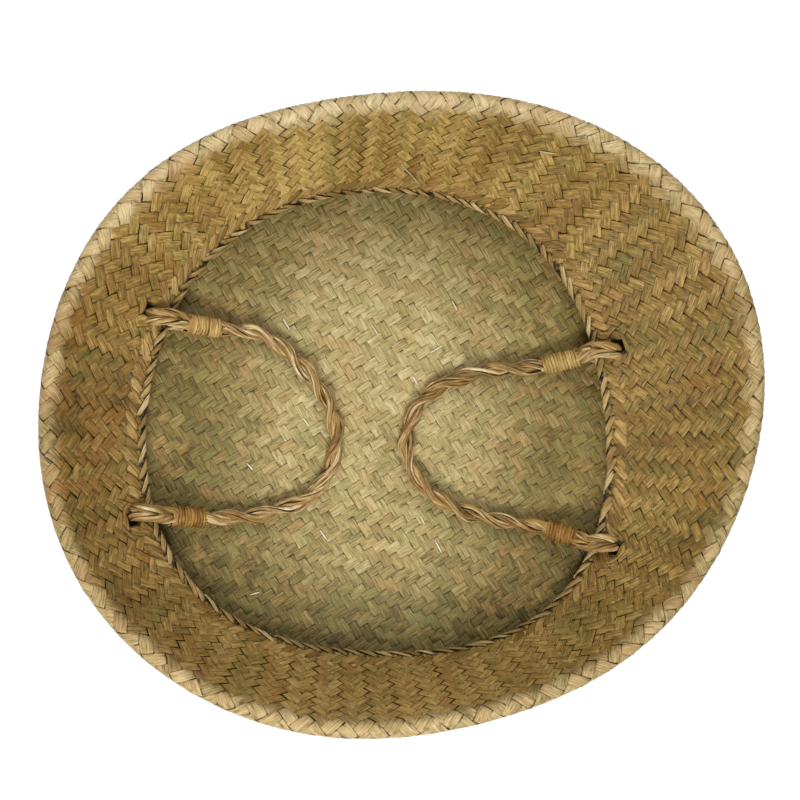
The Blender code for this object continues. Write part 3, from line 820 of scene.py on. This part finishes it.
def on_band(angle, way):
    """Points and outward directions on the border's rounded band.

    way is measured over the band: negative down the front face, zero at the rim's edge and
    positive up the back.
    """
    half = BORDER_THICKNESS / 2 * 0.5
    arc = np.pi * half
    front = way < 0
    back = way > arc
    up = np.where(front, -way, np.where(back, way - arc, 0)) + half
    angle, up = pushed_aside(angle, up)
    points, normals = WALL.at(angle, up)
    ahead, _ = WALL.at(angle, up + 1 * MM)
    down = points - ahead
    down /= np.linalg.norm(down, axis=-1, keepdims=True)
    turn = np.clip(way / arc, 0, 1) * np.pi
    out = normals * np.cos(turn)[..., None] + down * np.sin(turn)[..., None]
    return points + out * half, out


# A border strip's section: places across it, and its heights there
BORDER_SIDES = np.array([-1, -0.75, 0, 0.75, 1, 0.7, -0.7])
BORDER_SECTION = np.array([0.02, 0.20, 0.26, 0.20, 0.02, -0.5, -0.5]) * MM


def border_row(name, strips, start, stop, run, lifts, half_width, lean_over, rng_seed, material):
    """One row of the border's slanted strips, from way start to stop, that run along the rim."""
    rng = np.random.default_rng(rng_seed)
    count = 17
    s = np.linspace(0, 1, count)[None, :, None]
    strip = np.arange(strips)[:, None, None].astype(float)
    way = start + (stop - start) * s + rng.normal(0, 0.35 * MM, strip.shape)
    cell = 2 * np.pi * RIM_RADIUS / strips
    middle = strip + rng.normal(0, 0.12, strip.shape) + run / cell * (s - 0.5) * (
        1 + rng.normal(0, 0.12, strip.shape))
    width = half_width * (1 + rng.normal(0, 0.12, strip.shape)) * np.sin(
        np.pi * (0.06 + 0.88 * s)) ** 0.3
    # Width is laid square to the strip's slant
    long = math.hypot(run, stop - start)
    across_turns = width * (stop - start) / long
    across_way = -width * run / long
    angle = (middle + across_turns * BORDER_SIDES / cell) / strips * 2 * np.pi
    ways = way + across_way * BORDER_SIDES
    rise = lifts[0] + (lifts[1] - lifts[0]) * np.sin(np.pi * s) ** 0.8
    rise = rise + rng.normal(0, 0.12 * MM, strip.shape)
    # The side that leans over the next strip rides higher
    heights = rise + BORDER_SECTION + lean_over * BORDER_SIDES
    points, out = on_band(angle, ways)
    rings = points + out * heights[..., None]
    own = rng.uniform(0, 1, strip.shape)
    grain = np.stack([
        np.broadcast_to(s * long, angle.shape),
        np.broadcast_to(width * BORDER_SIDES, angle.shape),
        np.broadcast_to(strip * 0.31 + rng_seed, angle.shape),
    ], -1)
    attributes = {
        "grain": grain,
        "tone": np.broadcast_to(own, (strips, count, 1)),
        "tint": np.broadcast_to(rng.uniform(-0.6, 0.6, strip.shape), (strips, count, 1)),
        # Painted shade toward each strip's ends, where it tucks under its neighbours
        "rise": np.broadcast_to(np.sin(np.pi * s) * 1.5 - 0.1, (strips, count, 1)),
        "side": np.broadcast_to(np.abs(BORDER_SIDES), angle.shape),
    }
    piece = mesh_of_rings(name, rings, attributes, material)
    return settle(piece, "basket", "border_braid", "rim_border")


# Slivers of leaf that have split off the plait and stand up from it. On the base, from one end
# to the other in plan, in metres
BASE_SLIVERS = (
    (-0.0560, 0.0622, -0.0519, 0.0552), (-0.0441, 0.0043, -0.0400, -0.0009),
    (0.0430, 0.0747, 0.0460, 0.0689), (-0.0041, 0.0591, -0.0006, 0.0533),
    (0.0240, -0.0511, 0.0269, -0.0568), (0.0327, -0.0655, 0.0368, -0.0729),
    (-0.0739, -0.0974, -0.0682, -0.0957), (-0.0762, -0.0221, -0.0727, -0.0261),
    (-0.0340, -0.0601, -0.0300, -0.0658), (0.0300, 0.0433, 0.0376, 0.0481),
    (0.0194, 0.0302, 0.0229, 0.0244),
)
# On the folded wall, from one end to the other: degrees round it and mm up from the rim
WALL_SLIVERS = (
    (87.0, 29.4, 81.0, 9.3), (61.5, 64.7, 58.5, 68.0),
)
SLIVER_HALF_WIDTH = 0.42 * MM
SLIVER_THICKNESS = 0.3 * MM


def sliver(points, normals, tone):
    """One sliver's rings, flat on the plait and bowed up from it, with its attributes."""
    steps = np.linspace(0, 1, len(points))
    along = np.gradient(points, axis=0)
    across = np.cross(along, normals)
    across /= np.linalg.norm(across, axis=1, keepdims=True)
    half = SLIVER_HALF_WIDTH * (0.25 + 0.75 * np.sin(np.pi * (0.05 + 0.9 * steps)) ** 0.5)
    bow = 0.5 * MM * np.sin(np.pi * steps)
    ring = []
    for side, top in ((-1, 1), (1, 1), (1, 0), (-1, 0), (-1, 0.3), (-1, 0.6)):
        ring.append(points + across * (half * side)[:, None]
                    + normals * (bow + SLIVER_THICKNESS * top)[:, None])
    rings = np.stack(ring, 1)[None]
    length = np.linalg.norm(points[-1] - points[0])
    grain = np.stack(np.broadcast_arrays(
        (steps * length)[:, None], np.array([-1, 1, 1, -1, -1, -1]) * SLIVER_HALF_WIDTH,
        np.array([[points[0][0] * 90]])), -1)[None]
    return rings, grain, np.full((1, 1, 1), tone), np.zeros((1, 1, 1)), np.ones((1, 1, 1))


def slivers(material):
    """The slivers on the base and those on the folded wall, as two pieces."""
    steps = np.linspace(0, 1, 7)
    on_base = []
    for x, y, to_x, to_y in BASE_SLIVERS:
        points = np.stack([x + (to_x - x) * steps, y + (to_y - y) * steps,
                           np.full(7, FABRIC / 2 + 0.8 * MM)], -1)
        on_base.append(sliver(points, np.tile((0.0, 0.0, 1.0), (7, 1)), 0.9))
    settle(join_blocks("base_slivers", on_base, material), "basket", "base_plait", "base_mat")
    on_fold = []
    for angle, up, to_angle, to_up in WALL_SLIVERS:
        angles = np.radians(angle + (to_angle - angle) * steps)
        points, normals = WALL.at(angles, (up + (to_up - up) * steps) * MM)
        on_fold.append(sliver(points + normals * 1.1 * MM, normals, 0.0))
    settle(join_blocks("wall_slivers", on_fold, material), "basket", "wall_plait",
           "turned_in_wall")


def fibre_bundle(line, across, over, radius, fibres, lay, rng):
    """Rings of a strand's flat fibres, laid round its middle line: (fibres, rings, 6, 3)."""
    steps = walked_along(line)
    start = np.arange(fibres)[:, None] / fibres * 2 * np.pi + rng.uniform(-0.2, 0.2, (fibres, 1))
    sway = 0.5 * wander(np.zeros((fibres, 1)), steps[None, :], 0.05, rng)
    turn = start + 2 * np.pi * steps[None, :] / lay + sway
    radius = np.broadcast_to(radius, steps.shape)
    deep = radius[None, :] * (0.80 + 0.13 * wander(np.zeros((fibres, 1)), steps[None], 0.045, rng)
                              + rng.normal(0, 0.04, (fibres, 1)))
    half = radius[None, :] * np.pi / fibres * (1.1 + 0.35 * rng.uniform(-1, 1, (fibres, 1)))
    thick = radius[None, :] * 0.2
    place = np.array([-1, -0.5, 0.5, 1, 0.5, -0.5])
    rise = np.array([0, 1, 1, 0, -1, -1])
    round_way = -np.sin(turn)[..., None] * across + np.cos(turn)[..., None] * over
    out_way = np.cos(turn)[..., None] * across + np.sin(turn)[..., None] * over
    middle = line[None] + out_way * deep[..., None]
    roll = rng.normal(0, 0.35, (fibres, 1))[..., None]
    flat = round_way * np.cos(roll) + out_way * np.sin(roll)
    proud = out_way * np.cos(roll) - round_way * np.sin(roll)
    return (middle[:, :, None] + flat[:, :, None] * (half[..., None] * place)[..., None]
            + proud[:, :, None] * (thick[..., None] * rise)[..., None]), steps


def strand_mesh(name, strands, material, rng, body, slot, nodes):
    """One piece from several strands. A strand is (line, across, over, radius, fibres, lay)."""
    pieces = []
    for line, across, over, radius, fibres, lay in strands:
        rings, steps = fibre_bundle(line, across, over, radius, fibres, lay, rng)
        core = core_rings(line, across, over, np.broadcast_to(radius, steps.shape) * 0.72)
        # The core is painted dark, with its tone lowered and its rise below zero, as shade in the
        # grooves between the fibres
        for block, dark in ((rings, 0.0), (core[None], 0.35)):
            count = len(block)
            grain = np.stack(np.broadcast_arrays(
                steps[None, :, None],
                np.array([-1, -0.5, 0.5, 1, 0.5, -0.5]) * MM,
                rng.uniform(0, 9, (count, 1, 1)),
            ), -1)
            pieces.append((block, grain, rng.uniform(0, 1, (count, 1, 1)) * (1 - dark),
                           rng.uniform(-0.6, 0.6, (count, 1, 1)),
                           np.full((1, 1, 1), 1.0 - 3 * dark)))
    joined = join_blocks(name, pieces, material)
    return settle(joined, body, slot, *nodes)


def core_rings(line, across, over, radius):
    """Rings of the plain core that fills the middle of a strand's fibres."""
    turn = np.arange(6) / 6 * 2 * np.pi
    return (line[:, None] + (across[:, None] * np.cos(turn)[:, None]
                             + over[:, None] * np.sin(turn)[:, None]) * radius[:, None, None])


def join_blocks(name, blocks, material):
    """One object from several blocks of rings, with their attributes."""
    parts = []
    for i, (rings, grain, tone, tint, rise) in enumerate(blocks):
        shape = rings.shape[:3]
        attributes = {
            "grain": np.broadcast_to(grain, shape + (3,)),
            "tone": np.broadcast_to(tone, shape),
            "tint": np.broadcast_to(tint, shape),
            "side": np.broadcast_to(np.array([1, 0.5, 0.5, 1, 0.5, 0.5]), shape),
            "rise": np.broadcast_to(rise, shape),
        }
        parts.append(mesh_of_rings(f"{name}_{i}", rings, attributes, material))
    with bpy.context.temp_override(
            active_object=parts[0], selected_editable_objects=parts, object=parts[0],
            selected_objects=parts):
        bpy.ops.object.join()
    parts[0].name = name
    parts[0].data.name = name
    return parts[0]


STRAND_RADIUS = 2.45 * MM
STRAND_OFFSET = 2.15 * MM
ROPE_LAY = 38 * MM


def rope_span(name, material):
    """The rope between its two whippings: two strands laid together."""
    rng = np.random.default_rng(SEED + (50 if name == "left" else 60))
    ends = {}
    for end in ("rear", "front"):
        centre, _, direction, _, stop = rope_end(name, end)
        ends[end] = [centre + direction * (stop - 8 * MM), centre + direction * (stop + NECK)]
    floor = [Vector((x, y, ROPE_LYING)) for x, y in HANDLES[name]["route"]]
    points = [ends["rear"][1]] + floor + [ends["front"][1]]
    line = smooth_through([ends["rear"][0]] + points + [ends["front"][0]], 1.3 * MM)
    along, across, over = frames_along(line, (0, 0, 1))
    steps = walked_along(line)
    phase = 2 * np.pi * steps / ROPE_LAY + (0.4 if name == "left" else 1.9)
    strands = []
    for k in range(2):
        turn = phase + k * np.pi
        loose = 1 + 0.10 * np.sin(2 * np.pi * steps / 0.083 + k * 2)
        out = across * np.cos(turn)[:, None] + over * np.sin(turn)[:, None]
        own = line + out * (STRAND_OFFSET * loose)[:, None]
        side = np.cross(along, out)
        radius = STRAND_RADIUS * (1 + 0.09 * np.sin(2 * np.pi * steps / 0.051 + 1.3 * k))
        strands.append((own, out, side, radius, 7, -62 * MM))
    piece = strand_mesh(f"{name}_rope", strands, material, rng, f"{name}_handle",
                        "handle_rope", [f"{name}_handle_rope"])
    return piece


def rope_eye(name, end, material):
    """An eye: the rope's two strands side by side, round through the wall and back."""
    rng = np.random.default_rng(SEED + 70 + len(name) * 3 + len(end))
    centre, axis, direction, start, stop = rope_end(name, end)
    side = np.array(axis)
    inward = np.array(direction - Vector(side) * direction.dot(Vector(side)))
    inward /= np.linalg.norm(inward)
    upward = np.cross(inward, side)
    upward *= np.sign(upward[2])
    middle = np.array(centre)
    straight = np.array(direction)
    strands = []
    for k in (-1, 1):
        path = [middle + straight * (stop + (2.5 if k > 0 else 1.0) * MM) + upward * 2.0 * MM,
                middle + straight * (start + 6 * MM) + upward * 1.9 * MM]
        offsets = [side * k * 1.9 * MM, side * k * 1.9 * MM]
        for degrees in range(44, 320, 16):
            turn = math.radians(degrees)
            path.append(middle + (inward * math.cos(turn) + upward * math.sin(turn)) * EYE_MIDDLE)
            offsets.append(side * k * 2.35 * MM)
        path.append(middle + straight * (start + 6 * MM) - upward * 1.9 * MM)
        path.append(middle + straight * (stop + (1.0 if k > 0 else -1.0) * MM) - upward * 2.0 * MM)
        offsets += [side * k * 1.9 * MM] * 2
        line = smooth_through([p + o for p, o in zip(path, offsets)], 1.0 * MM)
        _, across, over = frames_along(line, side)
        away = np.linalg.norm(line - middle, axis=1)
        slim = np.clip((away - 12 * MM) / (4 * MM), 0, 1)
        radius = (2.45 - 0.5 * slim) * MM
        strands.append((line, across, over, radius, 7, 45 * MM * k))
    return strand_mesh(f"{name}_{end}_eye", strands, material, rng, f"{name}_handle",
                       "handle_rope", [f"{name}_handle_rope"])


def whipping(name, end, material):
    """One flat strand wound round the rope's end, a little unevenly, as hands wind it."""
    rng = np.random.default_rng(SEED + 90 + len(name) * 3 + len(end))
    centre, _, direction, start, _ = rope_end(name, end)
    turns = HANDLES[name][end]["turns"]
    straight = np.array(direction)
    across = np.cross(straight, (0, 0, 1))
    across /= np.linalg.norm(across)
    over = np.cross(straight, across)
    per_turn = 20
    i = np.arange(turns * per_turn + 1)
    turn = 2 * np.pi * i / per_turn
    sway = 0.22 * MM * wander(np.zeros(1), i / per_turn, 3.7, rng)
    along = start + WHIPPING_STRAND / 2 + WHIPPING_PITCH * i / per_turn + sway
    reach = WHIPPING_MIDDLE + 0.25 * MM * wander(np.zeros(1), i / per_turn, 2.3, rng)
    out = across * np.cos(turn)[:, None] + over * np.sin(turn)[:, None]
    line = np.array(centre) + straight * along[:, None] + out * reach[:, None]
    half = 0.92 * MM * (1 + 0.12 * wander(np.zeros(1), i / per_turn, 1.9, rng))
    place = np.array([-1, -0.55, 0, 0.55, 1, 0.5, -0.5])
    rise = np.array([0.4, 0.9, 1, 0.9, 0.4, -1, -1]) * 0.42 * MM
    lean = 0.25 * MM * wander(np.zeros(1), i / per_turn, 0.9, rng)
    rings = (line[:, None] + straight * (half[:, None] * place)[..., None]
             + out[:, None] * (rise + lean[:, None] * place)[..., None])
    look = HANDLES[name][end]
    tone = look["tone"] + np.interp(
        i / per_turn, np.arange(turns + 1), rng.uniform(0.1, 0.9, turns + 1))
    tint = look["tint"] + np.interp(
        i / per_turn, np.arange(turns + 1), rng.uniform(-0.4, 0.4, turns + 1))
    grain = np.stack(np.broadcast_arrays(
        (i * 2 * np.pi * WHIPPING_MIDDLE / per_turn)[:, None],
        place * 0.9 * MM, np.array([[len(name) + 0.5 * len(end)]]),
    ), -1)
    attributes = {
        "grain": grain[None], "tone": tone[None, :, None],
        "tint": tint[None, :, None], "side": np.abs(place)[None, None],
        "rise": np.full((1, len(i), 1), 1.0),
    }
    piece = mesh_of_rings(f"{name}_{end}_binding", rings[None], attributes, material)
    return settle(piece, f"{name}_handle", "whipping_strand", f"{name}_{end}_whipping")


def make_floor():
    """Matt pale paper. To the eye it is the plain white of the photograph, with a soft shadow."""
    made, tree = new_material("pale_paper")
    seen = add_node(tree, "ShaderNodeLightPath")
    share = add_node(tree, "ShaderNodeMath", {
        0: seen.outputs["Is Camera Ray"], 1: seen.outputs["Is Glossy Ray"]}, operation="MAXIMUM")
    share = add_node(tree, "ShaderNodeMath", {
        0: share.outputs[0], 1: seen.outputs["Is Transmission Ray"]}, operation="MAXIMUM")
    part = add_node(tree, "ShaderNodeMath", {0: share.outputs[0], 1: 0.85},
                    operation="MULTIPLY")
    paper = add_node(tree, "ShaderNodeBsdfDiffuse", {"Color": linear("#F4F3F0")})
    white = add_node(tree, "ShaderNodeEmission", {"Color": (1, 1, 1, 1), "Strength": 1.1})
    mixed = add_node(tree, "ShaderNodeMixShader", {
        0: part.outputs[0], 1: paper.outputs[0], 2: white.outputs[0]})
    add_node(tree, "ShaderNodeOutputMaterial", {"Surface": mixed.outputs[0]})
    mesh = bpy.data.meshes.new("floor")
    wide = 6
    mesh.from_pydata([(-wide, -wide, 0), (wide, -wide, 0), (wide, wide, 0), (-wide, wide, 0)],
                     [], [(0, 1, 2, 3)])
    mesh.materials.append(made)
    floor = bpy.data.objects.new("floor", mesh)
    bpy.context.scene.collection.objects.link(floor)


def make_light():
    """A soft box over the front, a weaker one over the rear, and a dim white sky."""
    world = bpy.data.worlds.new("studio")
    bpy.context.scene.world = world
    world.use_nodes = True
    tree = world.node_tree
    tree.nodes.clear()
    seen = add_node(tree, "ShaderNodeLightPath").outputs["Is Camera Ray"]
    strength = add_node(tree, "ShaderNodeMapRange", {
        "Value": seen, "To Min": 0.36, "To Max": 1.0}).outputs[0]
    sky = add_node(tree, "ShaderNodeBackground", {"Color": (1, 1, 1, 1), "Strength": strength})
    add_node(tree, "ShaderNodeOutputWorld", {"Surface": sky.outputs[0]})
    lamps = (
        ("soft_box", (-0.3, -1.0, 1.2), 0.6, 21.0),
        ("rear_box", (0.15, 1.0, 1.1), 0.9, 9.0),
    )
    for name, place, size, power in lamps:
        lamp = bpy.data.lights.new(name, "AREA")
        lamp.size = size
        lamp.energy = power
        holder = bpy.data.objects.new(name, lamp)
        holder.location = place
        holder.rotation_euler = (Vector(place) - Vector((0, 0, 0.05))).to_track_quat(
            "Z", "Y").to_euler()
        bpy.context.scene.collection.objects.link(holder)
    bpy.context.scene.view_settings.view_transform = "Standard"


make_camera()
WALL = Wall()
EYE_HOLES = eye_holes()

# Leaf twisted to rope: tan, with coarse fibre lines and painted shade in the grooves between the
# fibres
rope_fibre = seagrass(
    "twisted_seagrass_rope", ("#5E441A", "#A88448", "#F0DCAC"), "#A4703A", "#8E8A52",
    dive_shade=0.12, edge_shade=0.6, streak_mm=0.7, streak=1.4, crease=0.6)
for handle in HANDLES:
    rope_span(handle, rope_fibre)
    for side_end in ("rear", "front"):
        rope_eye(handle, side_end, rope_fibre)

make_floor()
make_light()

# Plaited leaf: straw on the belly, pale cream on the fold, partly painted light on its outward
# faces, and olive brown on the ring inside it
ring_tones = ("#523E17", "#957739", "#D6B66E")
fold_tones = ("#967C46", "#C8AE7A", "#E4D1A4")
wall_strips = seagrass(
    "plaited_seagrass_wall", ("#6E5626", "#A88C52", "#D0B67C"), "#9C5C26", "#6F7238",
    dive_shade=0.1, zones=((-18, -9, fold_tones), (-2, 7, ring_tones)))
wall_family("wall_strips_a", 1, wall_strips)
wall_family("wall_strips_b", -1, wall_strips)

# Plaited leaf, pale and a little olive in the middle of the base and darker and browner to its
# edge, partly its own tone and partly painted shade from the rim and walls
base_strips = seagrass(
    "plaited_seagrass_base", ("#7A6B3A", "#BAA66D", "#E4D6A6"), "#BE9058", "#9A9C5C",
    dive_shade=0.16, zones=((50, 130, ("#4E4016", "#87723A", "#B59D62")),))
base_family("base_strips_a", BASE_SLANT, 0, base_strips)
base_family("base_strips_b", BASE_SLANT - 90, 1, base_strips)

# Braided leaf: pale narrow strips over the very edge, and broader brown ones above them
border_edge = seagrass("braided_seagrass_edge", ("#6E5426", "#AC8D54", "#E6CE98"),
                       "#95602C", "#7C7744", dive_shade=0.12, edge_shade=0.8)
border_strips = seagrass("braided_seagrass_border", ("#574019", "#957438", "#D2AF6C"),
                         "#95602C", "#7C7744", dive_shade=0.12, edge_shade=0.8)
border_row("border_edge_row", 100, 2.6 * MM, -4.6 * MM, 13 * MM, (-0.3 * MM, 0.4 * MM),
           1.7 * MM, 0.3 * MM, SEED + 30, border_edge)
border_row("border_upper_row", WALL_STRIPS, -3.8 * MM, -13.2 * MM, -9.5 * MM,
           (-0.75 * MM, -0.15 * MM), 2.25 * MM, 0.2 * MM, SEED + 31, border_strips)

# One flat leaf wound tight: golden, with painted shade at each turn's edges
winding = seagrass(
    "whipping_seagrass_strand", ("#64410F", "#A67A36", "#DDBE7C"), "#B0743A", "#A09450",
    dive_shade=0.3, edge_shade=0.72, streak_mm=0.5, streak=1.0, crease=0.35)
for handle in HANDLES:
    for side_end in ("rear", "front"):
        whipping(handle, side_end, winding)

# Split leaf, which shows its pale inner side
slivers(seagrass("pale_seagrass_slivers", ("#B09A66", "#E6D8B0", "#FFF8E4"),
                 "#C9A878", "#BDB686", dive_shade=0.5))
